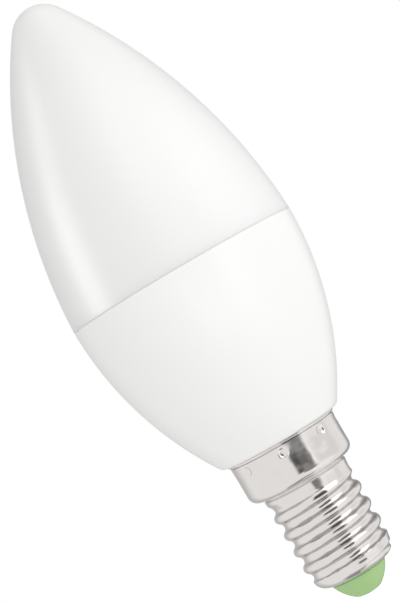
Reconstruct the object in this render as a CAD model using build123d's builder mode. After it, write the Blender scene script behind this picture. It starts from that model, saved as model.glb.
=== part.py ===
"""LED candle lamp with a small screw cap, standing cap down on its axis. Millimetres."""

import os
from math import atan2, cos, radians, sin, sqrt

from build123d import *

# The whole lamp, measured up from the flat end of the centre contact
overall_length = 100.4
body_diameter = 37.0
seam_height = 54.9
cap_height = 26.4
fit_clearance = 0.05

# The diffuser: a flame of one long arc with a ball tip, leaning in from the seam
tip_radius = 4.9
seam_lean = 2.0
seam_bevel = 0.15
lip_diameter = 33.6
lip_width = 1.6
lip_height = 2.4

# The screw shell, drawn from sheet
shell_wall = 0.3
shell_drop = 3.6
shell_length = cap_height - shell_drop
rim_diameter = 17.9
rim_width = 0.3
rim_thickness = 0.4
rim_bevel = 0.12
skirt_diameter = rim_diameter - 2 * rim_width
skirt_length = 6.85
shoulder_round = 1.4

# The housing: a waisted cup on a stepped neck, its foot standing out over the cap's rim
side_radius = 52.7
foot_overhang = 0.9
foot_diameter = rim_diameter + 2 * foot_overhang
foot_round = 0.9

# The shell's rolled thread, right-handed, with a crest and a root of one radius
thread_crest_diameter = 13.89
thread_root_diameter = 12.29
thread_pitch = 2.822
thread_land = 0.24
thread_overrun = 1.8
neck_length = 3.0
runout_length = 1.4

# The shell's lower end, drawn in and rolled under the insulator
lead_diameter = 13.2
lead_length = 2.0
end_round = 1.85
end_hole_diameter = 9.3

# The punch marks that stake the skirt to the housing
punch_count = 8
punch_width = 1.6
punch_depth = 0.22
punch_drop = 1.65
punch_turn = 40.5

# The insulator and the contact nail through it
insulator_flange = 3.1
insulator_bulge = 6.7
insulator_end_diameter = 3.8
insulator_end_round = 0.85
contact_head_diameter = 2.8
contact_head_thickness = 0.5
contact_proud = 0.1
contact_bevel = 0.1
contact_shank_diameter = 1.6

# Radii and heights that follow from those sizes
body_radius = body_diameter / 2
lip_radius = lip_diameter / 2
foot_radius = foot_diameter / 2
rim_radius = rim_diameter / 2
rim_foot = cap_height - rim_thickness
skirt_radius = skirt_diameter / 2
skirt_bore = skirt_radius - shell_wall
crest_radius = thread_crest_diameter / 2
root_radius = thread_root_diameter / 2
barrel_bore = root_radius - shell_wall
lead_radius = lead_diameter / 2
end_hole_radius = end_hole_diameter / 2
shell_end = cap_height - shell_length
ledge_height = cap_height - skirt_length
inner_ledge = ledge_height + shell_wall
roll_centre = lead_radius - end_round
roll_height = shell_end + end_round
seat_height = shell_end + shell_wall
seat_bevel = barrel_bore - roll_centre
shoulder_fillet = min(shoulder_round, 0.8 * (skirt_radius - crest_radius))
inner_bevel = (2 - sqrt(2)) * (shoulder_fillet - shell_wall)
neck_radius = skirt_bore - fit_clearance
neck_end = inner_ledge + fit_clearance
stem_radius = barrel_bore - fit_clearance
insulator_top = seat_height + insulator_flange
insulator_radius = barrel_bore - fit_clearance
insulator_throat = end_hole_radius - fit_clearance
insulator_end_radius = insulator_end_diameter / 2
contact_head_radius = contact_head_diameter / 2
contact_shank_radius = contact_shank_diameter / 2
contact_bore = contact_shank_radius + fit_clearance
contact_recess = contact_head_radius + fit_clearance
insulator_edge = min(insulator_end_round, 2 * (insulator_end_radius - contact_recess))

# The flame's side arc leaves the seam at its lean and meets the tip ball tangent
lean = radians(seam_lean)
tip_rise = overall_length - seam_height - tip_radius
flame_reach = tip_rise**2 + body_radius**2 - tip_radius**2
flame_radius = flame_reach / (2 * (body_radius * cos(lean) - tip_rise * sin(lean) - tip_radius))
flame_centre = Vector(body_radius - flame_radius * cos(lean), seam_height - flame_radius * sin(lean))
tip_centre = Vector(0, overall_length - tip_radius)
tip_joint = tip_centre + (tip_centre - flame_centre).normalized() * tip_radius

# The thread's crest and root arcs meet tangent at half depth
thread_depth = crest_radius - root_radius
pitch_radius = (crest_radius + root_radius) / 2
quarter_pitch = thread_pitch / 4
knuckle_radius = (quarter_pitch**2 + (thread_depth / 2) ** 2) / thread_depth
land_half = thread_land / 2
land_drop = knuckle_radius - sqrt(knuckle_radius**2 - land_half**2)
groove_edge = thread_pitch / 2 - land_half
groove_lip = crest_radius - land_drop
groove_floor = root_radius + land_drop
groove_mouth = crest_radius + shell_wall
thread_start = shell_end - thread_overrun
runout_height = ledge_height - neck_length
runout_tilt = atan2(thread_pitch / 2, 2 * pitch_radius)
runout_rise = runout_length * (groove_mouth - root_radius) / thread_depth
groove_rise = runout_height + runout_length + thread_pitch - thread_start

# A punch mark is the cap of a ball pressed into the skirt
punch_height = cap_height - punch_drop
punch_ball = ((punch_width / 2) ** 2 + punch_depth**2) / (2 * punch_depth)
punch_ring = skirt_radius - punch_depth + punch_ball


def punch_balls(radius):
    """The ring of balls, of one radius, centred on the punch marks."""
    with BuildPart(Plane.XY.offset(punch_height)) as balls:
        with PolarLocations(punch_ring, punch_count, start_angle=punch_turn):
            Sphere(radius)
    return balls.part


def punch_bumps(radius):
    """The caps of those balls that stand in from the middle of the skirt's wall."""
    with BuildPart() as bumps:
        add(punch_balls(radius))
        with BuildSketch(Plane.XY.offset(ledge_height)):
            Circle(skirt_bore + shell_wall / 2)
        extrude(amount=skirt_length, mode=Mode.INTERSECT)
    return bumps.part


# Diffuser: the flame, with a locating lip under its seam face
with BuildPart() as diffuser:
    with BuildSketch(Plane.XZ):
        with BuildLine():
            RadiusArc((body_radius, seam_height), tip_joint, -flame_radius)
            RadiusArc(tip_joint, (0, overall_length), -tip_radius)
            Polyline((0, overall_length), (0, seam_height), (body_radius, seam_height))
        make_face()
    revolve(axis=Axis.Z)
    chamfer(diffuser.edges().group_by(Axis.Z)[0], seam_bevel)
    with BuildSketch(Plane.XY.offset(seam_height)):
        Circle(lip_radius)
        Circle(lip_radius - lip_width, mode=Mode.SUBTRACT)
    extrude(amount=-lip_height)

# Housing: the waisted cup, its stepped neck inside the cap and the groove for the diffuser's lip
with BuildPart() as housing:
    with BuildSketch(Plane.XZ):
        with BuildLine():
            RadiusArc((foot_radius, cap_height), (body_radius, seam_height), -side_radius)
            Polyline(
                (body_radius, seam_height),
                (0, seam_height),
                (0, insulator_top),
                (stem_radius, insulator_top),
                (stem_radius, neck_end),
                (neck_radius - inner_bevel, neck_end),
                (neck_radius, neck_end + inner_bevel),
                (neck_radius, cap_height),
                (foot_radius, cap_height),
            )
        make_face()
    revolve(axis=Axis.Z)
    chamfer(housing.edges().group_by(Axis.Z)[-1], seam_bevel)
    foot_rings = housing.edges().filter_by_position(Axis.Z, rim_foot, cap_height + rim_thickness)
    fillet(foot_rings.sort_by(SortBy.RADIUS)[-1], foot_round)
    with BuildSketch(Plane.XY.offset(seam_height)):
        Circle(lip_radius + fit_clearance)
        Circle(lip_radius - lip_width - fit_clearance, mode=Mode.SUBTRACT)
    extrude(amount=-(lip_height + fit_clearance), mode=Mode.SUBTRACT)
    add(punch_bumps(punch_ball + shell_wall + fit_clearance), mode=Mode.SUBTRACT)

# The thread's groove, swept up its helix and run out towards the neck over its last half turn
groove_plane = Plane(origin=(0, 0, thread_start), x_dir=(1, 0, 0), z_dir=(0, -1, 0))
runout_axis = Axis((0, 0, runout_height), (sin(runout_tilt), 0, cos(runout_tilt)))
runout_side = (cos(runout_tilt), 0, -sin(runout_tilt))
runout_plane = Plane(runout_axis.position, x_dir=runout_side, z_dir=(0, -1, 0))
with BuildPart() as thread_groove:
    with BuildLine() as thread_lead:
        Helix(thread_pitch, groove_rise, pitch_radius, center=(0, 0, thread_start))
    with BuildSketch(groove_plane):
        with BuildLine():
            RadiusArc((groove_lip, -groove_edge), (pitch_radius, -quarter_pitch), -knuckle_radius)
            RadiusArc((pitch_radius, -quarter_pitch), (groove_floor, -land_half), knuckle_radius)
            Line((groove_floor, -land_half), (groove_floor, land_half))
            RadiusArc((groove_floor, land_half), (pitch_radius, quarter_pitch), knuckle_radius)
            RadiusArc((pitch_radius, quarter_pitch), (groove_lip, groove_edge), -knuckle_radius)
            Polyline(
                (groove_lip, groove_edge),
                (groove_mouth, groove_edge),
                (groove_mouth, -groove_edge),
                (groove_lip, -groove_edge),
            )
        make_face()
    sweep(path=thread_lead.line, is_frenet=True)
    with BuildSketch(runout_plane):
        with BuildLine():
            Polyline(
                (0, 0),
                (root_radius, 0),
                (groove_mouth, runout_rise),
                (groove_mouth, groove_rise),
                (0, groove_rise),
                close=True,
            )
        make_face()
    revolve(axis=runout_axis, mode=Mode.SUBTRACT)

# Screw shell: skirt, shoulder and threaded barrel, with its end rolled in round the insulator
with BuildPart() as screw_shell:
    with BuildSketch(Plane.XZ):
        with BuildLine():
            Polyline(
                (skirt_bore, cap_height),
                (rim_radius - rim_bevel, cap_height),
                (rim_radius, cap_height - rim_bevel),
                (rim_radius, rim_foot + rim_bevel),
                (rim_radius - rim_bevel, rim_foot),
                (skirt_radius, rim_foot),
                (skirt_radius, ledge_height + shoulder_fillet),
            )
            RadiusArc(
                (skirt_radius, ledge_height + shoulder_fillet),
                (skirt_radius - shoulder_fillet, ledge_height),
                shoulder_fillet,
            )
            Polyline(
                (skirt_radius - shoulder_fillet, ledge_height),
                (crest_radius, ledge_height),
                (crest_radius, roll_height + lead_length),
                (lead_radius, roll_height),
            )
            RadiusArc((lead_radius, roll_height), (roll_centre, shell_end), end_round)
            Polyline(
                (roll_centre, shell_end),
                (end_hole_radius, shell_end),
                (end_hole_radius, seat_height),
                (roll_centre, seat_height),
                (barrel_bore, seat_height + seat_bevel),
                (barrel_bore, inner_ledge),
                (skirt_bore - inner_bevel, inner_ledge),
                (skirt_bore, inner_ledge + inner_bevel),
                (skirt_bore, cap_height),
            )
        make_face()
    revolve(axis=Axis.Z)
    add(thread_groove.part, mode=Mode.SUBTRACT)
    add(punch_bumps(punch_ball + shell_wall))
    add(punch_balls(punch_ball), mode=Mode.SUBTRACT)

# Insulator: a flanged plug seated on the shell's rolled end, bulging out below it to a rounded end
with BuildPart() as insulator:
    with BuildSketch(Plane.XZ):
        with BuildLine():
            RadiusArc((insulator_throat, shell_end), (insulator_end_radius, contact_proud), insulator_bulge)
            Polyline(
                (insulator_end_radius, contact_proud),
                (contact_recess, contact_proud),
                (contact_recess, contact_head_thickness),
                (contact_bore, contact_head_thickness),
                (contact_bore, insulator_top),
                (insulator_radius, insulator_top),
                (insulator_radius, seat_height + seat_bevel - fit_clearance),
                (roll_centre, seat_height),
                (insulator_throat, seat_height),
                (insulator_throat, shell_end),
            )
        make_face()
    revolve(axis=Axis.Z)
    end_rings = insulator.edges().group_by(Axis.Z)[0]
    fillet(end_rings.sort_by(SortBy.RADIUS)[-1], insulator_edge)

# Centre contact: a flat-headed nail in the insulator's bore
with BuildPart() as centre_contact:
    with BuildSketch():
        Circle(contact_head_radius)
    extrude(amount=contact_head_thickness)
    chamfer(centre_contact.edges().group_by(Axis.Z)[0], contact_bevel)
    with BuildSketch(Plane.XY.offset(contact_head_thickness)):
        Circle(contact_shank_radius)
    extrude(amount=insulator_top - contact_head_thickness)

os.makedirs("parts", exist_ok=True)
pieces = {
    "diffuser": diffuser,
    "housing": housing,
    "screw_shell": screw_shell,
    "insulator": insulator,
    "centre_contact": centre_contact,
}
for name, piece in pieces.items():
    piece.part.label = name
    export_step(piece.part, f"parts/{name}.step")
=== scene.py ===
"""Candle bulb in a white light tent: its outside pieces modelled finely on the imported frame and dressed."""

import logging
from dataclasses import dataclass, field
from enum import Enum
from math import atan2, cos, hypot, pi, radians, sin, sqrt
from typing import Any, ClassVar

import bpy
import numpy as np
from mathutils import Matrix, Vector


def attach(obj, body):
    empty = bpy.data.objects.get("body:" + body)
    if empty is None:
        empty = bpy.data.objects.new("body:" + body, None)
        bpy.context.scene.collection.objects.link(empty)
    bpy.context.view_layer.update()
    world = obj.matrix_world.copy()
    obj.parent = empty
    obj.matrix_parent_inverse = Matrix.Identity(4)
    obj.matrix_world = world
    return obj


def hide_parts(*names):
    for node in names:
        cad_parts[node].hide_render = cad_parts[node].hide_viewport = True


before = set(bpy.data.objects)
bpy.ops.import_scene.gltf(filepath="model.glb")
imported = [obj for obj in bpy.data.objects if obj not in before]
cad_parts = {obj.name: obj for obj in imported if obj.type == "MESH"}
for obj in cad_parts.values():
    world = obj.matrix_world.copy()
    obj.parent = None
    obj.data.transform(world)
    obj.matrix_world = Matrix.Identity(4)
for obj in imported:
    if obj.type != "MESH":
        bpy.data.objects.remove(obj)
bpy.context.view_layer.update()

MM = 0.001
BODY = "root"

# Sizes that two or more pieces share, in millimetres.
SEAM_HEIGHT = 54.9
FOOT_HEIGHT = 26.4
BODY_RADIUS = 18.5
SEAM_BEVEL = 0.15
CAP_END = 3.6
PLUG_TOP = 7.0
PLUG_RADIUS = 5.795

# The attribute that marks where painted shade darkens the thread's flanks.
PAINTED_SHADE_ATTRIBUTE = "painted_flank_shade"

# The colour sockets of a Mix node.
MIX_FIRST = 6
MIX_SECOND = 7
MIX_RESULT = 2

# A blend so short that the edge stays sharp, and the least radius to divide by. Millimetres.
SHARP = 1e-6
TINY = 1e-9

Point = tuple[float, float]
Span = tuple[float, float]
Colour = tuple[float, float, float, float]
Inputs = dict[str | int, Any]
Tree = bpy.types.NodeTree
Socket = bpy.types.NodeSocket
Piece = bpy.types.Object

WHITE: Colour = (1.0, 1.0, 1.0, 1.0)

# Blender's noise seldom leaves these values.
NOISE_SPAN: Inputs = {"From Min": 0.3, "From Max": 0.7}

log = logging.getLogger("candle_bulb")


class Slot(Enum):
    """The record's material slots."""

    OPAL = "opal_plastic"
    WHITE = "white_plastic"
    NICKEL = "nickel_plate"
    GREEN = "green_plastic"


class Ray(Enum):
    """The kinds of ray that see something else than the soft light."""

    CAMERA = "Is Camera Ray"
    GLOSSY = "Is Glossy Ray"
    TRANSMISSION = "Is Transmission Ray"


def linear(hex_colour: str) -> Colour:
    """Turns an sRGB hex colour to linear light.

    Args:
        hex_colour: six hex digits, such as "F2F1EE".

    Returns:
        Red, green, blue and an alpha of 1.
    """
    channels = [int(hex_colour[i : i + 2], 16) / 255 for i in (0, 2, 4)]
    red, green, blue = [c / 12.92 if c <= 0.04045 else ((c + 0.055) / 1.055) ** 2.4 for c in channels]
    return red, green, blue, 1.0


def per_metre(size_mm: float) -> float:
    """The texture scale at which one cell of a pattern is size_mm wide."""
    return 1 / (size_mm * MM)


def add_node(tree: Tree, kind: str, inputs: Inputs | None = None, **settings: Any) -> bpy.types.Node:
    """Adds one node with its settings, constants and links.

    Args:
        tree: the node tree.
        kind: the node's type name, after "ShaderNode".
        inputs: a value to set, or a socket to link, for each input by name or number.
        settings: the node's own properties.

    Returns:
        The new node.
    """
    node = tree.nodes.new("ShaderNode" + kind)
    for name, value in settings.items():
        setattr(node, name, value)
    for name, value in (inputs or {}).items():
        if isinstance(value, Socket):
            tree.links.new(value, node.inputs[name])
        else:
            node.inputs[name].default_value = value
    return node


def mirror_share(tree: Tree, path: bpy.types.Node) -> Socket:
    """Tells rays that come off a mirror or through glass from all others.

    Args:
        tree: the node tree.
        path: its Light Path node.

    Returns:
        1 for a glossy or transmission ray, and 0 for any other.
    """
    kinds = {0: path.outputs[Ray.GLOSSY.value], 1: path.outputs[Ray.TRANSMISSION.value]}
    return add_node(tree, "Math", kinds, operation="MAXIMUM").outputs["Value"]


def arc_reach(centre: Point, radius: float, height: float) -> float:
    """How far from the axis the outer side of an arc is at a height."""
    return centre[0] + sqrt(radius**2 - (height - centre[1]) ** 2)


def bulge_centre(high: Point, low: Point, radius: float) -> Point:
    """Finds the centre of an arc that bulges outwards between two points of a section.

    Args:
        high: the arc's upper end.
        low: its lower end.
        radius: its radius.

    Returns:
        The arc's centre.
    """
    across, up = high[0] - low[0], high[1] - low[1]
    chord = hypot(across, up)
    inset = sqrt(radius**2 - (chord / 2) ** 2) / chord
    return (high[0] + low[0]) / 2 - up * inset, (high[1] + low[1]) / 2 + across * inset


def foot_round(centre: Point, radius: float, foot: float, small: float) -> tuple[Point, Point]:
    """Fits a round between a bulging arc and a level foot.

    Args:
        centre: the arc's centre.
        radius: its radius.
        foot: the foot's height.
        small: the round's radius.

    Returns:
        The round's centre, and the point where the arc goes over into it.
    """
    reach = radius - small
    middle = (arc_reach(centre, reach, foot + small), foot + small)
    grow = radius / reach
    joint = (centre[0] + (middle[0] - centre[0]) * grow, centre[1] + (middle[1] - centre[1]) * grow)
    return middle, joint


@dataclass
class Section:
    """Half section of a turned piece: points of radius and height in millimetres, in order."""

    points: list[Point] = field(default_factory=list)

    def line(self, *corners: Point, step: float = 0.0) -> "Section":
        """Adds straight runs.

        Args:
            corners: the ends of the runs.
            step: the longest edge allowed, or 0 for one edge to a run.

        Returns:
            This section.
        """
        for corner in corners:
            start = self.points[-1] if self.points else corner
            across, up = corner[0] - start[0], corner[1] - start[1]
            pieces = max(1, round(hypot(across, up) / step)) if step else 1
            for i in range(1, pieces + 1):
                share = i / pieces
                self.points.append((start[0] + share * across, start[1] + share * up))
        return self

    def arc(self, centre: Point, end: Point, segments: int) -> "Section":
        """Adds the shorter arc about a centre, from the last point.

        Args:
            centre: the arc's centre.
            end: its last point.
            segments: how many edges it has.

        Returns:
            This section.
        """
        start = self.points[-1]
        radius = hypot(start[0] - centre[0], start[1] - centre[1])
        first = atan2(start[1] - centre[1], start[0] - centre[0])
        sweep = atan2(end[1] - centre[1], end[0] - centre[0]) - first
        sweep = (sweep + pi) % (2 * pi) - pi
        for i in range(1, segments):
            angle = first + sweep * i / segments
            self.points.append((centre[0] + radius * cos(angle), centre[1] + radius * sin(angle)))
        self.points.append(end)
        return self


@dataclass(frozen=True)
class Lathe:
    """Turns half sections into closed meshes about the bulb's axis.

    Attributes:
        steps: how many sides a full turn has.
        crease: the angle in degrees past which an edge is shaded sharp.
        weld: how close points are merged, in millimetres.
    """

    steps: int = 192
    crease: float = 34.0
    weld: float = 0.0005

    def turn(self, name: str, section: Section, ring: bool = False) -> Piece:
        """Draws a section point by point and spins it.

        Args:
            name: the piece's name.
            section: its half section.
            ring: True where the section is a closed loop clear of the axis.

        Returns:
            The turned piece, at the origin.
        """
        bpy.ops.object.select_all(action="DESELECT")
        bpy.ops.mesh.primitive_plane_add(size=MM)
        piece = bpy.context.object
        piece.name = piece.data.name = name
        bpy.ops.object.mode_set(mode="EDIT")
        bpy.ops.mesh.select_mode(type="VERT")
        bpy.ops.mesh.select_all(action="SELECT")
        bpy.ops.mesh.merge(type="CENTER")
        at = (0.0, 0.0)
        for number, point in enumerate(section.points):
            move = ((point[0] - at[0]) * MM, 0.0, (point[1] - at[1]) * MM)
            if number:
                bpy.ops.mesh.extrude_vertices_move(TRANSFORM_OT_translate={"value": move})
            else:
                bpy.ops.transform.translate(value=move)
            at = point
        if ring:
            self.close(piece)
        bpy.ops.mesh.select_all(action="SELECT")
        bpy.ops.mesh.spin(steps=self.steps, angle=2 * pi, center=(0, 0, 0), axis=(0, 0, 1))
        bpy.ops.mesh.select_all(action="SELECT")
        bpy.ops.mesh.remove_doubles(threshold=self.weld * MM)
        bpy.ops.mesh.normals_make_consistent(inside=False)
        bpy.ops.object.mode_set(mode="OBJECT")
        self.smooth(piece)
        return piece

    def close(self, piece: Piece) -> None:
        """Joins the last point of a drawn section to its first with one edge.

        Args:
            piece: the drawn section, in edit mode.
        """
        bpy.ops.mesh.select_all(action="DESELECT")
        bpy.ops.object.mode_set(mode="OBJECT")
        for end in (0, -1):
            piece.data.vertices[end].select = True
        bpy.ops.object.mode_set(mode="EDIT")
        bpy.ops.mesh.edge_face_add()

    def smooth(self, piece: Piece) -> None:
        """Shades a piece smooth, apart from its sharp edges.

        Args:
            piece: the piece, in object mode.
        """
        bpy.ops.object.select_all(action="DESELECT")
        piece.select_set(True)
        bpy.context.view_layer.objects.active = piece
        bpy.ops.object.shade_smooth_by_angle(angle=radians(self.crease))


def soft_larger(first: np.ndarray, second: np.ndarray, width: float | np.ndarray) -> np.ndarray:
    """Takes the larger of two radii, with the corner between them rounded.

    Args:
        first: the one radius at each place.
        second: the other.
        width: the difference within which one fades into the other.

    Returns:
        The larger radius, or a little more near the corner.
    """
    share = np.clip(0.5 + 0.5 * (first - second) / width, 0.0, 1.0)
    return second + (first - second) * share + width * share * (1.0 - share)


def read_points(piece: Piece) -> np.ndarray:
    """Reads where a piece's vertices are.

    Args:
        piece: the piece.

    Returns:
        The vertices in millimetres, one row each.
    """
    flat = np.empty(3 * len(piece.data.vertices))
    piece.data.vertices.foreach_get("co", flat)
    return flat.reshape(-1, 3) / MM


def press(piece: Piece, points: np.ndarray, radius: np.ndarray, pressed: np.ndarray) -> None:
    """Moves a piece's vertices straight in or out from the axis.

    Args:
        piece: the piece.
        points: its vertices in millimetres, which are moved too.
        radius: how far each is from the axis.
        pressed: how far from the axis it comes to be.
    """
    points[:, :2] *= (pressed / np.maximum(radius, TINY))[:, None]
    piece.data.vertices.foreach_set("co", (points * MM).ravel())
    piece.data.update()


@dataclass(frozen=True)
class Finish:
    """What every finish shares: a material named for the real one, and how it starts and ends."""

    name: str

    def start(self) -> tuple[bpy.types.Material, Tree, Socket]:
        """Makes an empty material.

        Returns:
            The material, its node tree and the piece's Object coordinates.
        """
        material = bpy.data.materials.new(self.name)
        material.use_nodes = True
        material.node_tree.nodes.clear()
        place = add_node(material.node_tree, "TexCoord").outputs["Object"]
        return material, material.node_tree, place

    def end(self, tree: Tree, inputs: Inputs) -> None:
        """Adds the principled shader and the output.

        Args:
            tree: the material's node tree.
            inputs: the shader's inputs, as add_node takes them.
        """
        shader = add_node(tree, "BsdfPrincipled", inputs)
        add_node(tree, "OutputMaterial", {"Surface": shader.outputs["BSDF"]})

    def material(self) -> bpy.types.Material:
        """Makes the material, which each finish does in its own way."""
        raise NotImplementedError


@dataclass(frozen=True)
class MouldedPlastic(Finish):
    """What the plastics share: slightly uneven colour, and a grain in the skin that dulls the gloss.

    Attributes:
        pale: the palest colour.
        deep: the deepest colour.
        cloud_mm: how large the uneven patches are.
        cloud_detail: how finely they are broken up.
        grain_mm: how large the grain is.
        grain_detail: how finely it is broken up.
        grain_depth_mm: how deep it is.
        grain_strength: how much of that depth shows.
        roughness: the least and the most.
        ior: the index of refraction.
    """

    pale: str
    deep: str
    cloud_mm: float
    cloud_detail: float
    grain_mm: float
    grain_detail: float
    grain_depth_mm: float
    grain_strength: float
    roughness: Span
    ior: float

    def tone(self, tree: Tree, place: Socket) -> Socket:
        """Colours the plastic in soft patches.

        Args:
            tree: the material's node tree.
            place: the piece's Object coordinates.

        Returns:
            The colour.
        """
        cells = {"Vector": place, "Scale": per_metre(self.cloud_mm), "Detail": self.cloud_detail}
        cloud = add_node(tree, "TexNoise", cells).outputs["Fac"]
        shades = {"Factor": cloud, MIX_FIRST: linear(self.pale), MIX_SECOND: linear(self.deep)}
        return add_node(tree, "Mix", shades, data_type="RGBA").outputs[MIX_RESULT]

    def gloss(self, tree: Tree, place: Socket, grain: Socket) -> Socket:
        """Dulls the gloss with the grain.

        Args:
            tree: the material's node tree.
            place: the piece's Object coordinates.
            grain: the grain's height.

        Returns:
            The roughness.
        """
        low, high = self.roughness
        spread = NOISE_SPAN | {"Value": grain, "To Min": low, "To Max": high}
        return add_node(tree, "MapRange", spread).outputs["Result"]

    def soak(self) -> Inputs:
        """How light soaks in: not at all, unless a finish says so."""
        return {}

    def material(self) -> bpy.types.Material:
        """Makes the material.

        Returns:
            The plastic.
        """
        material, tree, place = self.start()
        cells = {"Vector": place, "Scale": per_metre(self.grain_mm), "Detail": self.grain_detail}
        grain = add_node(tree, "TexNoise", cells).outputs["Fac"]
        relief = {"Height": grain, "Strength": self.grain_strength, "Distance": self.grain_depth_mm * MM}
        skin = {
            "Base Color": self.tone(tree, place),
            "Roughness": self.gloss(tree, place, grain),
            "IOR": self.ior,
            "Normal": add_node(tree, "Bump", relief).outputs["Normal"],
        }
        self.end(tree, skin | self.soak())
        return material


@dataclass(frozen=True)
class OpalPolycarbonate(MouldedPlastic):
    """Opal polycarbonate, injection moulded in a spark-eroded mould.

    Light soaks in and comes back soft, under a dull satin skin with a fine even grit. The real grit is a few
    hundredths of a millimetre wide, and it is drawn coarser here, so that it shows.
    """

    name: str = "opal polycarbonate, satin moulded"
    pale: str = "EFEFEE"
    deep: str = "EDEDEC"
    cloud_mm: float = 14.0
    cloud_detail: float = 0.0
    grain_mm: float = 0.22
    grain_detail: float = 1.0
    grain_depth_mm: float = 0.02
    grain_strength: float = 0.06
    roughness: Span = (0.3, 0.38)
    ior: float = 1.58
    soak_share: float = 0.35
    soak_depth_mm: float = 3.0
    soak_colour: tuple[float, float, float] = (1.0, 0.97, 0.93)

    def soak(self) -> Inputs:
        """How light soaks in: a few millimetres, and red light the deepest.

        Returns:
            The shader's inputs for it.
        """
        return {
            "Subsurface Weight": self.soak_share,
            "Subsurface Radius": self.soak_colour,
            "Subsurface Scale": self.soak_depth_mm * MM,
        }


@dataclass(frozen=True)
class WhitePolyester(MouldedPlastic):
    """White PBT polyester, injection moulded in a polished mould.

    A dense clean white with painted shade that darkens it a little towards the foot, a faint melt ripple and
    a soft gloss that is misty in patches.
    """

    name: str = "white PBT, gloss moulded"
    pale: str = "F6F6F4"
    deep: str = "F4F4F2"
    cloud_mm: float = 9.0
    cloud_detail: float = 1.0
    grain_mm: float = 0.9
    grain_detail: float = 2.0
    grain_depth_mm: float = 0.02
    grain_strength: float = 0.02
    roughness: Span = (0.27, 0.3)
    ior: float = 1.54

    def tone(self, tree: Tree, place: Socket) -> Socket:
        """Colours the plastic by its height, as painted shade that darkens towards the foot.

        Args:
            tree: the material's node tree.
            place: the piece's Object coordinates.

        Returns:
            The colour, deep at the foot and pale at the seam.
        """
        # Painted shade: the white is a little darker towards the foot and paler towards the seam.
        apart = add_node(tree, "SeparateXYZ", {"Vector": place})
        rise = {"Value": apart.outputs["Z"], "From Min": FOOT_HEIGHT * MM, "From Max": SEAM_HEIGHT * MM}
        height = add_node(tree, "MapRange", rise).outputs["Result"]
        shades = {"Factor": height, MIX_FIRST: linear(self.deep), MIX_SECOND: linear(self.pale)}
        return add_node(tree, "Mix", shades, data_type="RGBA").outputs[MIX_RESULT]

    def gloss(self, tree: Tree, place: Socket, grain: Socket) -> Socket:
        """Dulls the gloss in misty patches, which the ripple leaves alone.

        Args:
            tree: the material's node tree.
            place: the piece's Object coordinates.
            grain: the ripple's height.

        Returns:
            The roughness.
        """
        cells = {"Vector": place, "Scale": per_metre(self.cloud_mm), "Detail": self.cloud_detail}
        mist = add_node(tree, "TexNoise", cells).outputs["Fac"]
        low, high = self.roughness
        return add_node(tree, "MapRange", {"Value": mist, "To Min": low, "To Max": high}).outputs["Result"]


@dataclass(frozen=True)
class GreenPolyamide(MouldedPlastic):
    """Green polyamide, moulded in place round the contact.

    A soft leaf green, satin, with slightly uneven colour and a fine flow grain.
    """

    name: str = "green polyamide, satin moulded"
    pale: str = "AACF8B"
    deep: str = "9EC480"
    cloud_mm: float = 2.2
    cloud_detail: float = 3.0
    grain_mm: float = 0.5
    grain_detail: float = 2.0
    grain_depth_mm: float = 0.03
    grain_strength: float = 0.08
    roughness: Span = (0.38, 0.48)
    ior: float = 1.53


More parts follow.
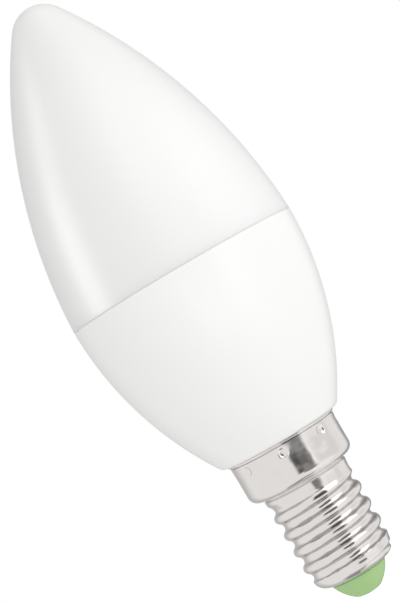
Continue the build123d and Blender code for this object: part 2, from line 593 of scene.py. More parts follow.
@dataclass(frozen=True)
class NickelPlate(Finish):
    """Bright nickel plate on drawn and rolled brass sheet.

    A warm grey mirror, slightly wavy, with smudges and with drawing lines round it, and with painted shade
    that darkens the thread's flanks. The real lines are a few hundredths of a millimetre apart, and they are
    drawn coarser here, so that they show.
    """

    name: str = "nickel plate on drawn brass"
    bright: str = "E2DFDD"
    warm: str = "DBD7D4"
    # The dark grey of the painted shade on the thread's flanks, and how much of it is mixed in.
    flank_shade_colour: str = "8A8682"
    flank_shade_share: float = 0.46
    smudge_mm: float = 2.6
    smudge_detail: float = 4.0
    smudge_grain: float = 0.6
    line_mm: float = 0.45
    line_length_mm: float = 7.0
    line_detail: float = 2.0
    line_depth_mm: float = 0.01
    line_strength: float = 0.04
    wave_mm: float = 5.0
    wave_detail: float = 2.0
    wave_depth_mm: float = 0.26
    roughness: Span = (0.07, 0.13)

    def material(self) -> bpy.types.Material:
        """Makes the material.

        Returns:
            The plated sheet.
        """
        material, tree, place = self.start()
        # Painted shade: the thread's flanks are mixed towards a dark grey, standing in for the shade in the
        # grooves.
        painted_flank_shade = add_node(tree, "Attribute", attribute_name=PAINTED_SHADE_ATTRIBUTE).outputs["Fac"]
        flank = add_node(tree, "MapRange", {"Value": painted_flank_shade, "To Max": self.flank_shade_share}).outputs["Result"]
        cells = {"Vector": place, "Scale": per_metre(self.smudge_mm)}
        cells |= {"Detail": self.smudge_detail, "Roughness": self.smudge_grain}
        smudge = add_node(tree, "TexNoise", cells).outputs["Fac"]
        shades = {"Factor": smudge, MIX_FIRST: linear(self.bright), MIX_SECOND: linear(self.warm)}
        plate = add_node(tree, "Mix", shades, data_type="RGBA").outputs[MIX_RESULT]
        shades = {"Factor": flank, MIX_FIRST: plate, MIX_SECOND: linear(self.flank_shade_colour)}
        tone = add_node(tree, "Mix", shades, data_type="RGBA").outputs[MIX_RESULT]
        low, high = self.roughness
        spread = NOISE_SPAN | {"Value": smudge, "To Min": low, "To Max": high}
        gloss = add_node(tree, "MapRange", spread).outputs["Result"]
        cells = {"Vector": place, "Scale": per_metre(self.wave_mm), "Detail": self.wave_detail}
        wave = add_node(tree, "TexNoise", cells).outputs["Fac"]
        swell = {"Height": wave, "Strength": 1.0, "Distance": self.wave_depth_mm * MM}
        sway = add_node(tree, "Bump", swell).outputs["Normal"]
        along, across = per_metre(self.line_length_mm), per_metre(self.line_mm)
        stretched = {"Vector": place, "Scale": (along, along, across)}
        drawn = add_node(tree, "Mapping", stretched).outputs["Vector"]
        cells = {"Vector": drawn, "Scale": 1.0, "Detail": self.line_detail}
        lines = add_node(tree, "TexNoise", cells).outputs["Fac"]
        marks = {"Height": lines, "Strength": self.line_strength, "Distance": self.line_depth_mm * MM}
        relief = add_node(tree, "Bump", marks | {"Normal": sway}).outputs["Normal"]
        self.end(tree, {"Base Color": tone, "Metallic": 1.0, "Roughness": gloss, "Normal": relief})
        return material


@dataclass(frozen=True)
class MattCard(Finish):
    """White card with a faint fibre, lit from below like a light table.

    The camera sees it white, with the bulb's faint shadow on it, and mirrors see through it to the walls.

    Attributes:
        table_glow: how much light of its own it gives the bulb, where white is 1.
        shown: the colour that takes the shadow, where the camera sees the card.
        shown_glow: the glow that makes this up to white.
    """

    name: str = "matt white card"
    pale: str = "F4F4F4"
    deep: str = "F1F1F1"
    fibre_mm: float = 1.5
    fibre_detail: float = 3.0
    table_glow: float = 0.15
    shown: str = "AAAAAA"
    shown_glow: float = 0.78

    def material(self) -> bpy.types.Material:
        """Makes the material.

        Returns:
            The card.
        """
        material, tree, place = self.start()
        cells = {"Vector": place, "Scale": per_metre(self.fibre_mm), "Detail": self.fibre_detail}
        fibre = add_node(tree, "TexNoise", cells).outputs["Fac"]
        shades = {"Factor": fibre, MIX_FIRST: linear(self.pale), MIX_SECOND: linear(self.deep)}
        tone = add_node(tree, "Mix", shades, data_type="RGBA").outputs[MIX_RESULT]
        sides = []
        for colour, strength in ((tone, self.table_glow), (linear(self.shown), self.shown_glow)):
            paper = add_node(tree, "BsdfDiffuse", {"Color": colour}).outputs["BSDF"]
            glow = add_node(tree, "Emission", {"Strength": strength}).outputs["Emission"]
            sides.append(add_node(tree, "AddShader", {0: paper, 1: glow}).outputs["Shader"])
        path = add_node(tree, "LightPath")
        turns = {0: path.outputs[Ray.CAMERA.value], 1: sides[0], 2: sides[1]}
        direct = add_node(tree, "MixShader", turns).outputs["Shader"]
        clear = add_node(tree, "BsdfTransparent").outputs["BSDF"]
        surface = add_node(tree, "MixShader", {0: mirror_share(tree, path), 1: direct, 2: clear})
        add_node(tree, "OutputMaterial", {"Surface": surface.outputs["Shader"]})
        return material


@dataclass
class TurnedPiece:
    """What the bulb's pieces share: each is turned, worked and dressed. Millimetres and degrees.

    Attributes:
        name: the piece's name.
        node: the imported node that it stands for.
        slot: the record's material slot.
        finish: its finish.
        lathe: what turns it.
        ring: True where its section is a closed loop clear of the axis.
    """

    name: ClassVar[str]
    node: ClassVar[str]
    slot: ClassVar[Slot]
    finish: ClassVar[Finish]
    lathe: ClassVar[Lathe] = Lathe()
    ring: ClassVar[bool] = False

    def section(self) -> Section:
        """Draws the half section, which each piece does in its own way."""
        raise NotImplementedError

    def work(self, piece: Piece) -> None:
        """Works the turned piece further, where it needs that."""

    def build(self) -> Piece:
        """Turns the piece, works it, gives it its finish and body, and hides the imported node that it stands
        for.

        Returns:
            The finished piece.
        """
        piece = self.lathe.turn(self.name, self.section(), self.ring)
        self.work(piece)
        material = self.finish.material()
        piece.data.materials.clear()
        piece.data.materials.append(material)
        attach(piece, BODY)
        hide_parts(self.node)
        log.info("%s: %d faces, %s", piece.name, len(piece.data.polygons), material.name)
        return piece


@dataclass
class Diffuser(TurnedPiece):
    """The opal flame: one long arc from the seam to a ball tip, with its locating lip."""

    name = "opal_flame"
    node = "diffuser"
    slot = Slot.OPAL
    finish = OpalPolycarbonate()
    seam: float = SEAM_HEIGHT
    tip: float = 100.4
    radius: float = BODY_RADIUS
    tip_radius: float = 4.9
    lean: float = 2.0
    bevel: float = SEAM_BEVEL
    lip_outer: float = 16.8
    lip_inner: float = 15.2
    lip_height: float = 2.4
    side_edges: int = 72
    tip_edges: int = 20

    def section(self) -> Section:
        """Draws the flame.

        Returns:
            The half section, from the axis at the seam round to the tip.
        """
        lean = radians(self.lean)
        rise = self.tip - self.seam - self.tip_radius
        reach = rise**2 + self.radius**2 - self.tip_radius**2
        flame = reach / (2 * (self.radius * cos(lean) - rise * sin(lean) - self.tip_radius))
        centre = (self.radius - flame * cos(lean), self.seam - flame * sin(lean))
        ball = (0.0, self.tip - self.tip_radius)
        away = hypot(ball[0] - centre[0], ball[1] - centre[1])
        joint = tuple(b + (b - c) / away * self.tip_radius for b, c in zip(ball, centre))
        edge = self.seam + self.bevel
        lip = self.seam - self.lip_height
        drawn = Section().line((0.0, self.seam), (self.lip_inner, self.seam))
        drawn.line((self.lip_inner, lip), (self.lip_outer, lip), (self.lip_outer, self.seam))
        drawn.line((self.radius - self.bevel, self.seam), (arc_reach(centre, flame, edge), edge))
        drawn.arc(centre, joint, self.side_edges)
        return drawn.arc(ball, (0.0, self.tip), self.tip_edges)


@dataclass
class Housing(TurnedPiece):
    """The white cup, its rounded foot, and the stepped neck inside the cap."""

    name = "white_cup"
    node = "housing"
    slot = Slot.WHITE
    finish = WhitePolyester()
    seam: float = SEAM_HEIGHT
    foot: float = FOOT_HEIGHT
    radius: float = BODY_RADIUS
    foot_radius: float = 9.85
    side_radius: float = 52.7
    round_radius: float = 0.9
    bevel: float = SEAM_BEVEL
    groove_outer: float = 16.85
    groove_inner: float = 15.15
    groove_depth: float = 2.45
    neck_radius: float = 8.3
    neck_end: float = 19.9
    neck_bevel: float = 0.62
    stem_radius: float = PLUG_RADIUS
    stem_end: float = PLUG_TOP
    side_edges: int = 56
    round_edges: int = 10

    def section(self) -> Section:
        """Draws the cup.

        Returns:
            The half section, from the axis at the seam down the side to the stem's end.
        """
        centre = bulge_centre((self.radius, self.seam), (self.foot_radius, self.foot), self.side_radius)
        middle, joint = foot_round(centre, self.side_radius, self.foot, self.round_radius)
        edge = self.seam - self.bevel
        floor = self.seam - self.groove_depth
        drawn = Section().line((0.0, self.seam), (self.groove_inner, self.seam))
        drawn.line((self.groove_inner, floor), (self.groove_outer, floor), (self.groove_outer, self.seam))
        drawn.line((self.radius - self.bevel, self.seam), (arc_reach(centre, self.side_radius, edge), edge))
        drawn.arc(centre, joint, self.side_edges)
        drawn.arc(middle, (middle[0], self.foot), self.round_edges)
        drawn.line((self.neck_radius, self.foot), (self.neck_radius, self.neck_end + self.neck_bevel))
        drawn.line((self.neck_radius - self.neck_bevel, self.neck_end), (self.stem_radius, self.neck_end))
        return drawn.line((self.stem_radius, self.stem_end), (0.0, self.stem_end))


@dataclass
class ScrewShell(TurnedPiece):
    """The sheet-metal cap: rim, staked skirt, shoulder, rolled thread and rolled end.

    Attributes:
        neck_sweep: the height over which the neck's hollow widens to the crest.
        punch_turn: where the first punch mark is, from +X.
        punch_margin: how far round a mark the wall is refined, as a share of the mark's width.
        row: the longest edge along the outer wall.
        blend: over what depth the thread fades into its run-out.
        soft: over what depth the run-out fades into the neck.
        shade_band_half: half the width of the painted shade band on each flank.
        rounds: how often the run-out's radius is worked out again.
    """

    name = "screw_cap"
    node = "screw_shell"
    slot = Slot.NICKEL
    finish = NickelPlate()
    lathe = Lathe(steps=240, crease=40.0)
    ring = True
    top: float = FOOT_HEIGHT
    end: float = CAP_END
    wall: float = 0.3
    rim_radius: float = 8.95
    rim_thickness: float = 0.4
    rim_bevel: float = 0.17
    rim_groove: float = 0.09
    skirt_radius: float = 8.65
    skirt_flare: float = 0.08
    flare_length: float = 2.4
    ledge: float = 19.55
    shoulder_round: float = 1.364
    corner_round: float = 0.22
    neck_top: float = 6.88
    neck_waist: float = 6.74
    neck_groove: float = 0.25
    neck_groove_height: float = 0.55
    neck_length: float = 3.0
    neck_sweep: float = 0.8
    crest: float = 6.945
    root: float = 6.145
    pitch: float = 2.822
    thread_start: float = 1.8
    runout_length: float = 1.4
    lead_radius: float = 6.6
    lead_length: float = 2.0
    end_round: float = 1.85
    hole_radius: float = 4.65
    punches: int = 8
    punch_width: float = 1.7
    punch_depth: float = 0.27
    punch_height: float = 24.75
    punch_turn: float = 40.5
    punch_margin: float = 0.8
    row: float = 0.1
    blend: float = 0.22
    soft: float = 0.12
    shade_band_half: float = 0.24
    rounds: int = 4
    rim_edges: int = 4
    flare_points: int = 25
    shoulder_edges: int = 12
    corner_edges: int = 4
    hollow_points: int = 14
    end_edges: int = 24

    def draw_skirt(self, drawn: Section) -> None:
        """Draws the rim, the groove under it, the flared skirt and the shoulder.

        Args:
            drawn: the section so far, which ends on the rim's top.
        """
        rim_foot = self.top - self.rim_thickness
        rim_inner = self.rim_radius - self.rim_bevel
        rim_high, rim_low = self.top - self.rim_bevel, rim_foot + self.rim_bevel
        drawn.line((rim_inner, self.top))
        drawn.arc((rim_inner, rim_high), (self.rim_radius, rim_high), self.rim_edges)
        drawn.line((self.rim_radius, rim_low))
        drawn.arc((rim_inner, rim_low), (rim_inner, rim_foot), self.rim_edges)
        groove_floor = self.skirt_radius - self.rim_groove
        groove_foot = rim_foot - self.rim_groove
        drawn.line((groove_floor, rim_foot), (groove_floor, groove_foot))
        flare_top = groove_foot - self.rim_groove
        for share in np.linspace(0.0, 1.0, self.flare_points):
            flared = self.skirt_radius + self.skirt_flare * (1.0 - share) ** 2
            drawn.line((flared, flare_top - self.flare_length * share))
        shoulder = self.skirt_radius - self.shoulder_round
        shoulder_top = self.ledge + self.shoulder_round
        drawn.line((self.skirt_radius, shoulder_top), step=self.row)
        drawn.arc((shoulder, shoulder_top), (shoulder, self.ledge), self.shoulder_edges)

    def draw_barrel(self, drawn: Section) -> None:
        """Draws the hollow neck, the barrel that the thread is rolled into, and the rolled end.

        Args:
            drawn: the section so far, which ends on the shoulder's ledge.
        """
        throat = self.neck_top - self.neck_groove
        corner = throat + self.corner_round
        corner_foot = self.ledge - self.corner_round
        drawn.line((corner, self.ledge))
        drawn.arc((corner, corner_foot), (throat, corner_foot), self.corner_edges)
        neck_high = self.ledge - self.neck_groove_height
        neck_low = self.ledge - self.neck_length
        drawn.line((self.neck_top, neck_high), step=self.row)
        for share in np.linspace(0.0, 1.0, self.hollow_points)[1:]:
            hollow = self.neck_waist + (self.neck_top - self.neck_waist) * (1.0 - share) ** 2
            drawn.line((hollow, neck_high - (neck_high - neck_low - self.neck_sweep) * share))
        drawn.line((self.crest, neck_low), step=self.row)
        roll_centre = self.lead_radius - self.end_round
        roll_height = self.end + self.end_round
        drawn.line((self.crest, roll_height + self.lead_length), step=self.row)
        drawn.line((self.lead_radius, roll_height), step=self.row)
        drawn.arc((roll_centre, roll_height), (roll_centre, self.end), self.end_edges)

    def section(self) -> Section:
        """Draws the sheet.

        Returns:
            The closed half section, from the skirt's bore over the rim, down the outside and up the inside.
        """
        bore = self.skirt_radius - self.wall
        barrel = self.root - self.wall
        roll_centre = self.lead_radius - self.end_round
        seat = self.end + self.wall
        ledge = self.ledge + self.wall
        # Inside the shoulder, a bevel at 45 degrees touches the round that the sheet would have.
        bevel = (2 - sqrt(2)) * (self.shoulder_round - self.wall)
        drawn = Section().line((bore, self.top))
        self.draw_skirt(drawn)
        self.draw_barrel(drawn)
        drawn.line((self.hole_radius, self.end), (self.hole_radius, seat), (roll_centre, seat))
        drawn.line((barrel, seat + barrel - roll_centre), (barrel, ledge))
        return drawn.line((bore - bevel, ledge), (bore, ledge + bevel))

    def climb(self, angle: np.ndarray, height: np.ndarray) -> np.ndarray:
        """How far above the thread's first groove each place is, along the axis."""
        return height - self.thread_start - self.pitch * angle / (2 * pi)

    def groove(self, angle: np.ndarray, height: np.ndarray) -> np.ndarray:
        """Shapes the knuckle thread: crest and root arcs of one radius that meet tangent at half depth.

        Args:
            angle: turn about the axis, in radians.
            height: height on the axis.

        Returns:
            The thread's radius at each place.
        """
        quarter = self.pitch / 4
        depth = self.crest - self.root
        knuckle = (quarter**2 + (depth / 2) ** 2) / depth
        climb = self.climb(angle, height)
        offset = np.abs((climb + self.pitch / 2) % self.pitch - self.pitch / 2)
        low = np.minimum(offset, quarter)
        high = np.minimum(self.pitch / 2 - offset, quarter)
        valley = self.root + knuckle - np.sqrt(knuckle**2 - low**2)
        hill = self.crest - knuckle + np.sqrt(knuckle**2 - high**2)
        return np.where(offset <= quarter, valley, hill)

    def runout(self, angle: np.ndarray, height: np.ndarray) -> np.ndarray:
        """Shapes the leaning cone on which the thread rises out to the plain neck over its last half turn.

        Args:
            angle: turn about the axis, in radians.
            height: height on the axis.

        Returns:
            The cone's radius at each place.
        """
        middle = (self.crest + self.root) / 2
        tilt = atan2(self.pitch / 2, 2 * middle)
        slope = (self.crest - self.root) / self.runout_length
        above = height - (self.ledge - self.neck_length)
        radius = np.full_like(height, middle)
        for _ in range(self.rounds):
            along = radius * np.cos(angle) * sin(tilt) + above * cos(tilt)
            off_axis = np.sqrt(np.maximum(radius**2 + above**2 - along**2, 0.0))
            radius = self.root + slope * along + radius - off_axis
        return radius

    def roll_thread(self, piece: Piece) -> None:
        """Presses the thread into the barrel, softly where it runs out, and marks its flanks for painted
        shade.

        Args:
            piece: the turned cap.
        """
        points = read_points(piece)
        height = points[:, 2]
        angle = np.arctan2(points[:, 1], points[:, 0]) % (2 * pi)
        radius = np.hypot(points[:, 0], points[:, 1])
        barrel = (height < self.ledge - self.corner_round / 2) & (radius > self.root)
        groove = self.groove(angle, height)
        cone = self.runout(angle, height)
        rolled = soft_larger(groove, cone, self.blend)
        soft = np.where(height > self.ledge - self.neck_length, self.soft, SHARP)
        # Turned round, the larger is the smaller: the rolled form or the plain wall, whichever is farther in.
        formed = -soft_larger(-radius, -rolled, soft)
        press(piece, points, radius, np.where(barrel, formed, radius))
        # A band on each flank, where the nickel's material paints shade.
        off_flank = np.abs(self.climb(angle, height) % (self.pitch / 2) - self.pitch / 4)
        shade_band = np.clip(1.0 - off_flank / self.shade_band_half, 0.0, 1.0)
        cut = np.clip((radius - groove) / self.soft, 0.0, 1.0)
        cut *= np.clip((groove - cone) / self.soft, 0.0, 1.0)
        painted_flank_shade = np.where(barrel, cut * shade_band, 0.0)
        piece.data.attributes.new(PAINTED_SHADE_ATTRIBUTE, "FLOAT", "POINT").data.foreach_set("value", painted_flank_shade)

    def punch_reach(self, points: np.ndarray) -> np.ndarray:
        """Measures how far the skirt's outer wall is from the punch marks.

        Args:
            points: places in millimetres, one row each.

        Returns:
            Each place's way along the wall to the nearest mark's centre, endless where it isn't on the wall.
        """
        spacing = 2 * pi / self.punches
        angle = np.arctan2(points[:, 1], points[:, 0]) - radians(self.punch_turn)
        off = (angle + spacing / 2) % spacing - spacing / 2
        radius = np.hypot(points[:, 0], points[:, 1])
        reach = np.hypot(self.skirt_radius * off, points[:, 2] - self.punch_height)
        return np.where(radius > self.skirt_radius - self.wall / 2, reach, np.inf)

    def stake(self, piece: Piece) -> None:
        """Refines the wall round each punch mark and presses the mark into it.

        Args:
            piece: the turned cap.
        """
        mesh = piece.data
        centres = np.empty(3 * len(mesh.polygons))
        mesh.polygons.foreach_get("center", centres)
        near = self.punch_reach(centres.reshape(-1, 3) / MM) < self.punch_margin * self.punch_width
        bpy.ops.object.mode_set(mode="EDIT")
        bpy.ops.mesh.select_mode(type="FACE")
        bpy.ops.mesh.select_all(action="DESELECT")
        bpy.ops.object.mode_set(mode="OBJECT")
        mesh.polygons.foreach_set("select", near)
        bpy.ops.object.mode_set(mode="EDIT")
        bpy.ops.mesh.subdivide(number_cuts=1)
        bpy.ops.object.mode_set(mode="OBJECT")
        points = read_points(piece)
        radius = np.hypot(points[:, 0], points[:, 1])
        share = np.minimum(2 * self.punch_reach(points) / self.punch_width, 1.0)
        # A mark has a flat floor, a steep wall and a soft brim.
        press(piece, points, radius, radius - self.punch_depth * (1.0 - share**4) ** 2)

    def work(self, piece: Piece) -> None:
        """Stakes the skirt, rolls the thread and shades the cap again.

        Args:
            piece: the turned cap.
        """
        self.stake(piece)
        self.roll_thread(piece)
        self.lathe.smooth(piece)


@dataclass
class Insulator(TurnedPiece):
    """The green plug: a flange inside the cap and a dome under it, recessed for the contact."""

    name = "green_plug"
    node = "insulator"
    slot = Slot.GREEN
    finish = GreenPolyamide()
    ring = True
    top: float = PLUG_TOP
    seat: float = 3.9
    throat: float = 4.6
    throat_height: float = CAP_END
    flange_radius: float = PLUG_RADIUS
    flange_edge: float = 4.945
    seat_radius: float = 4.75
    notch: float = 0.16
    notch_height: float = 3.36
    bulge: float = 6.7
    end_radius: float = 1.9
    end_height: float = 0.1
    end_round: float = 0.85
    recess_radius: float = 1.45
    recess_height: float = 0.5
    bore: float = 0.85
    dome_edges: int = 22
    round_edges: int = 8

    def section(self) -> Section:
        """Draws the plug.

        Returns:
            The closed half section, from the throat down the dome and up the bore.
        """
        high, low = (self.throat, self.throat_height), (self.end_radius, self.end_height)
        centre = bulge_centre(high, low, self.bulge)
        middle, joint = foot_round(centre, self.bulge, self.end_height, self.end_round)
        notch_floor = self.throat - self.notch
        rim = (arc_reach(centre, self.bulge, self.notch_height), self.notch_height)
        drawn = Section().line((notch_floor, self.notch_height), rim)
        drawn.arc(centre, joint, self.dome_edges)
        drawn.arc(middle, (middle[0], self.end_height), self.round_edges)
        drawn.line((self.recess_radius, self.end_height), (self.recess_radius, self.recess_height))
        drawn.line((self.bore, self.recess_height), (self.bore, self.top), (self.flange_radius, self.top))
        drawn.line((self.flange_radius, self.flange_edge), (self.seat_radius, self.seat))
        return drawn.line((notch_floor, self.seat))


@dataclass
class CentreContact(TurnedPiece):
    """The contact nail: a flat head with a rounded edge, and its shank."""

    name = "contact_nail"
    node = "centre_contact"
    slot = Slot.NICKEL
    finish = NickelPlate()
    head_radius: float = 1.4
    head_thickness: float = 0.5
    edge: float = 0.1
    shank_radius: float = 0.8
    top: float = PLUG_TOP
    row: float = 0.3
    round_edges: int = 6

    def section(self) -> Section:
        """Draws the nail.

        Returns:
            The half section, from the head's centre out and up to the shank's end.
        """
        flat = self.head_radius - self.edge
        drawn = Section().line((0.0, 0.0), (flat, 0.0), step=self.row)
        drawn.arc((flat, self.edge), (self.head_radius, self.edge), self.round_edges)
        drawn.line((self.head_radius, self.head_thickness), (self.shank_radius, self.head_thickness))
        return drawn.line((self.shank_radius, self.top), (0.0, self.top))


@dataclass(frozen=True)
class PhotoCamera:
    """The photograph's camera: a long lens, nearly square to the axis, rolled. Millimetres and degrees."""

    distance: float = 260.0
    height: float = 44.5
    aim: float = 49.72
    roll: float = 30.4
    frame_height: float = 89.67
    sensor: float = 36.0

    def build(self) -> None:
        """Makes the camera and hands it to the scene."""
        data = bpy.data.cameras.new("photo_camera")
        camera = bpy.data.objects.new("photo_camera", data)
        bpy.context.scene.collection.objects.link(camera)
        eye = Vector((0.0, -self.distance, self.height)) * MM
        look = Vector((0.0, 0.0, self.aim)) * MM - eye
        back = -look.normalized()
        level = Vector((1.0, 0.0, 0.0))
        rise = back.cross(level)
        roll = radians(self.roll)
        right = level * cos(roll) - rise * sin(roll)
        up = level * sin(roll) + rise * cos(roll)
        turn = Matrix((right, up, back)).transposed().to_4x4()
        camera.matrix_world = Matrix.Translation(eye) @ turn
        data.sensor_width = self.sensor
        data.lens = self.sensor * look.length / (self.frame_height * MM)
        bpy.context.scene.camera = camera


@dataclass(frozen=True)
class Panel:
    """A soft-edged patch of the tent's wall, as the glossy pieces see it. Degrees from the camera's side.

    Attributes:
        azimuth: its left and right edge, positive to the right of the camera.
        elevation: its lower and upper edge.
        soft: the width of its blurred border.
        level: what it multiplies the wall's brightness by.
    """

    azimuth: Span
    elevation: Span
    soft: float
    level: float


@dataclass(frozen=True)
class SoftLamp:
    """A soft box turned to the bulb's axis, out of the camera's sight.

    A box for all pieces lights their matt colour alone, and a box for one piece shows in its gloss alone.

    Attributes:
        name: its name.
        place: its azimuth in degrees, positive to the right of the camera, and in millimetres how far from
            the axis it stands and how high its middle is.
        size: its width and its height from edge to edge, in millimetres.
        level: its brightness, where white is 1.
        only: the one piece that it shines on, or None for all.
    """

    name: str
    place: tuple[float, float, float]
    size: tuple[float, float]
    level: float
    only: Piece | None = None

    def build(self) -> None:
        """Hangs the box upright and level."""
        azimuth, distance, height = self.place
        data = bpy.data.lights.new(self.name, "AREA")
        data.shape = "RECTANGLE"
        data.size, data.size_y = [side * MM for side in self.size]
        data.energy = self.level * pi * data.size * data.size_y
        lamp = bpy.data.objects.new(self.name, data)
        bpy.context.scene.collection.objects.link(lamp)
        side = radians(azimuth)
        out = Vector((sin(side), -cos(side), 0.0))
        turn = (-out).to_track_quat("-Z", "Y").to_matrix().to_4x4()
        middle = out * distance * MM + Vector((0.0, 0.0, height * MM))
        lamp.matrix_world = Matrix.Translation(middle) @ turn
        lamp.visible_camera = False
        lamp.visible_glossy = self.only is not None
        lamp.visible_diffuse = self.only is None
        if self.only is not None:
            receiver = bpy.data.collections.new(self.name + "_receiver")
            receiver.objects.link(self.only)
            lamp.light_linking.receiver_collection = receiver


@dataclass(frozen=True)
class LightTent:
    """White tent: soft light that leans to the right, walls that only reflections see, a floor and lamps.

    Attributes:
        ambient: how bright the soft light is, where white is 1.
        lean: how much brighter it is at its brightest side.
        lean_azimuth: where that side is, in degrees to the right of the camera.
        floor_height: the floor's height, in millimetres.
        floor_side: how wide it is, in millimetres.
        walls: the patches that the walls are brighter or darker in.
    """

    ambient: float = 0.84
    lean: float = 0.28
    lean_azimuth: float = 48.0
    floor_height: float = -60.0
    floor_side: float = 900.0
    walls: tuple[Panel, ...] = (
        # The dark opening that the camera looks in by, with a bright strip across it.
        Panel((-4.0, 34.0), (-9.0, 22.0), 10.0, 0.08),
        Panel((10.0, 36.0), (-24.0, -7.0), 10.0, 0.25),
        Panel((12.0, 36.0), (-9.0, 3.0), 10.0, 2.2),
        # The dim roof, on the left, in front and on the right.
        Panel((-179.0, -60.0), (47.0, 95.0), 12.0, 0.35),
        Panel((-70.0, 60.0), (60.0, 95.0), 10.0, 0.35),
        Panel((76.0, 140.0), (50.0, 95.0), 16.0, 0.4),
        # The dim ground.
        Panel((-200.0, 70.0), (-95.0, -68.0), 10.0, 0.4),
        # The bright side on the right, low and high, and the plainer wall between.
        Panel((30.0, 84.0), (-60.0, -7.0), 3.0, 1.12),
        Panel((28.0, 72.0), (4.0, 64.0), 14.0, 1.8),
        Panel((46.0, 104.0), (-18.0, 12.0), 16.0, 0.9),
        # The dim back, whose two halves meet at one level.
        Panel((-200.0, -130.0), (-90.0, 90.0), 40.0, 0.6),
        Panel((143.0, 200.0), (-90.0, 90.0), 30.0, 0.6),
        Panel((122.0, 166.0), (14.0, 74.0), 22.0, 0.54),
        Panel((143.0, 170.0), (-40.0, 14.0), 18.0, 0.65),
    )

    def window(self, tree: Tree, panel: Panel, azimuth: Socket, elevation: Socket) -> Socket:
        """Draws a panel on the tent's wall.

        Args:
            tree: the world's node tree.
            panel: the panel.
            azimuth: the direction's azimuth, in radians.
            elevation: the direction's elevation, in radians.

        Returns:
            The panel's level inside it and 1 outside it.
        """
        mask: Any = 1.0
        for value, (low, high) in ((azimuth, panel.azimuth), (elevation, panel.elevation)):
            for edge, inside in ((low, 1.0), (high, -1.0)):
                half = radians(inside * panel.soft / 2)
                ramp = {"Value": value, "From Min": radians(edge) - half, "From Max": radians(edge) + half}
                step = add_node(tree, "MapRange", ramp, interpolation_type="SMOOTHSTEP")
                both = {0: mask, 1: step.outputs["Result"]}
                mask = add_node(tree, "Math", both, operation="MULTIPLY").outputs["Value"]
        level = add_node(tree, "MapRange", {"Value": mask, "To Min": 1.0, "To Max": panel.level})
        return level.outputs["Result"]

    def wall_level(self, tree: Tree, way: Socket) -> Socket:
        """Draws every panel on the walls.

        Args:
            tree: the world's node tree.
            way: the direction that a ray goes.

        Returns:
            How bright the wall is that way.
        """
        apart = add_node(tree, "SeparateXYZ", {"Vector": way})
        ahead = add_node(tree, "Math", {0: apart.outputs["Y"], 1: -1.0}, operation="MULTIPLY")
        turned = {0: apart.outputs["X"], 1: ahead.outputs["Value"]}
        azimuth = add_node(tree, "Math", turned, operation="ARCTAN2")
        elevation = add_node(tree, "Math", {0: apart.outputs["Z"]}, operation="ARCSINE")
        wall: Any = 1.0
        for panel in self.walls:
            level = self.window(tree, panel, azimuth.outputs["Value"], elevation.outputs["Value"])
            both = {0: wall, 1: level}
            wall = add_node(tree, "Math", both, operation="MULTIPLY").outputs["Value"]
        return wall

    def soft_level(self, tree: Tree, way: Socket) -> Socket:
        """Shades the soft light.

        Args:
            tree: the world's node tree.
            way: the direction that a ray goes.

        Returns:
            How bright the soft light is from there.
        """
        side = radians(self.lean_azimuth)
        brightest = (sin(side), -cos(side), 0.0)
        towards = add_node(tree, "VectorMath", {0: way, 1: brightest}, operation="DOT_PRODUCT")
        terms = {0: towards.outputs["Value"], 1: self.lean, 2: self.ambient}
        return add_node(tree, "Math", terms, operation="MULTIPLY_ADD").outputs["Value"]

    def build_world(self) -> None:
        """Makes the world: white to the camera, the tent's walls to reflections, soft light to the rest."""
        world = bpy.data.worlds.new("light tent")
        bpy.context.scene.world = world
        world.use_nodes = True
        tree = world.node_tree
        tree.nodes.clear()
        way = add_node(tree, "TexCoord").outputs["Generated"]
        views = []
        for strength in (self.soft_level(tree, way), self.wall_level(tree, way), 1.0):
            view = add_node(tree, "Background", {"Color": WHITE, "Strength": strength})
            views.append(view.outputs["Background"])
        light, walls, white = views
        path = add_node(tree, "LightPath")
        lit = add_node(tree, "MixShader", {0: mirror_share(tree, path), 1: light, 2: walls})
        turns = {0: path.outputs[Ray.CAMERA.value], 1: lit.outputs["Shader"], 2: white}
        seen = add_node(tree, "MixShader", turns)
        add_node(tree, "OutputWorld", {"Surface": seen.outputs["Shader"]})

    def build_floor(self) -> None:
        """Lays the pale floor under the bulb."""
        bpy.ops.object.select_all(action="DESELECT")
        place = (0.0, 0.0, self.floor_height * MM)
        bpy.ops.mesh.primitive_plane_add(size=self.floor_side * MM, location=place)
        floor = bpy.context.object
        floor.name = "pale_floor"
        bpy.ops.object.transform_apply(location=True)
        floor.data.materials.append(MattCard().material())

    def hang_lamps(self, flame: Piece, cup: Piece) -> None:
        """Hangs the key box, and the boxes that show in the gloss of one piece.

        Args:
            flame: the piece that mirrors a strip on its left, and a fill in front and on the right.
            cup: the piece that mirrors a glow from below.
        """
        lamps = (
            SoftLamp("key_box", (46.0, 700.0, 430.0), (300.0, 300.0), 2.0),
            SoftLamp("left_strip", (-84.5, 160.0, 97.0), (72.0, 105.0), 3.5, flame),
            SoftLamp("left_strip_top", (-84.5, 160.0, 195.0), (72.0, 90.0), 2.2, flame),
            SoftLamp("left_strip_tip", (-86.0, 160.0, 270.0), (96.0, 60.0), 2.0, flame),
            SoftLamp("flame_fill", (14.0, 300.0, 250.0), (190.0, 380.0), 1.05, flame),
            SoftLamp("flame_side", (74.0, 300.0, 170.0), (280.0, 230.0), 0.85, flame),
            SoftLamp("cup_glow", (20.0, 200.0, 0.0), (230.0, 100.0), 0.82, cup),
        )
        for lamp in lamps:
            lamp.build()


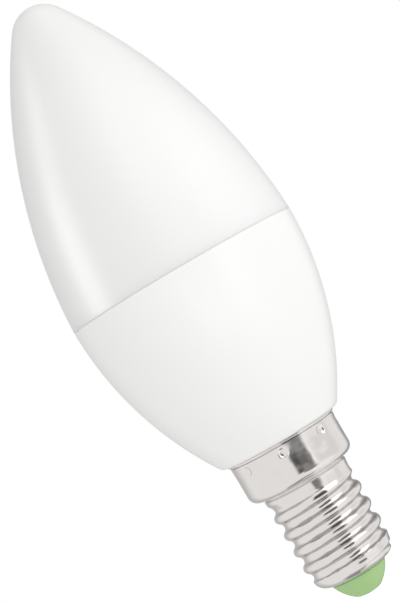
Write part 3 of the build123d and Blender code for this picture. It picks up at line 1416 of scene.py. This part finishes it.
def main() -> None:
    """Builds the camera, the bulb's pieces and the tent."""
    logging.basicConfig(level=logging.INFO, format="%(name)s: %(message)s")
    bpy.context.scene.view_settings.view_transform = "Standard"
    PhotoCamera().build()
    flame = Diffuser().build()
    cup = Housing().build()
    for piece in (ScrewShell(), Insulator(), CentreContact()):
        piece.build()
    tent = LightTent()
    tent.build_world()
    tent.build_floor()
    tent.hang_lamps(flame, cup)


if __name__ == "__main__":
    main()
